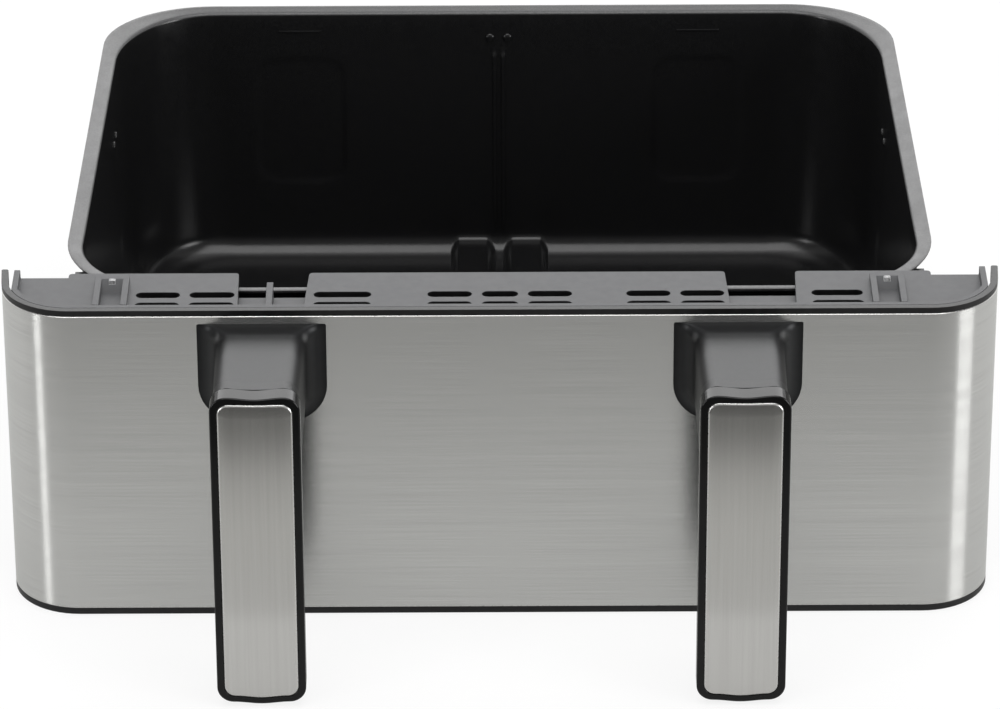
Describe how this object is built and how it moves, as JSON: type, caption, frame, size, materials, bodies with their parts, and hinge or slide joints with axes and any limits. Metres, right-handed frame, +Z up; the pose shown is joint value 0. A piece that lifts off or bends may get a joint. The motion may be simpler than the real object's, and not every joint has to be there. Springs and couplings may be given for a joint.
{
  "type": "air fryer drawer",
  "caption": "Wide removable drawer of a dual-zone air fryer: black non-stick pan, brushed steel front with upright handles, and a slotted grey top deck.",
  "frame": {"origin": "centre of the drawer's bounding box in plan, at the level of the front's lower edge", "axes": "+X to the right as seen from the front, +Y from the handles back into the pan, +Z up"},
  "size_m": [0.4016, 0.39, 0.139],
  "materials": {
    "pan_coating": "satin black non-stick coating on drawn steel",
    "plated_steel": "zinc-plated sheet steel",
    "black_plastic": "fine matt black moulding",
    "grey_plastic": "fine matt dark grey moulding",
    "brushed_steel": "brushed stainless steel",
    "satin_plastic": "satin black moulding",
    "gloss_plastic": "gloss black moulding",
    "screw_steel": "zinc-plated screws"
  },
  "bodies": {
    "root": {"pan": "pan_coating", "pan_bracket": "plated_steel", "heat_shield": "plated_steel", "back_cover": "black_plastic", "deck_cover": "grey_plastic", "front_shell": "black_plastic", "steel_fascia": "brushed_steel", "left_handle_body": "satin_plastic", "right_handle_body": "satin_plastic", "left_handle_frame": "gloss_plastic", "right_handle_frame": "gloss_plastic", "left_handle_plate": "brushed_steel", "right_handle_plate": "brushed_steel", "left_clamp_plate": "plated_steel", "right_clamp_plate": "plated_steel", "left_handle_screws": "screw_steel", "right_handle_screws": "screw_steel", "left_frame_screws": "screw_steel", "right_frame_screws": "screw_steel", "cover_screws": "screw_steel", "bracket_screws": "screw_steel"}
  },
  "joints": []
}
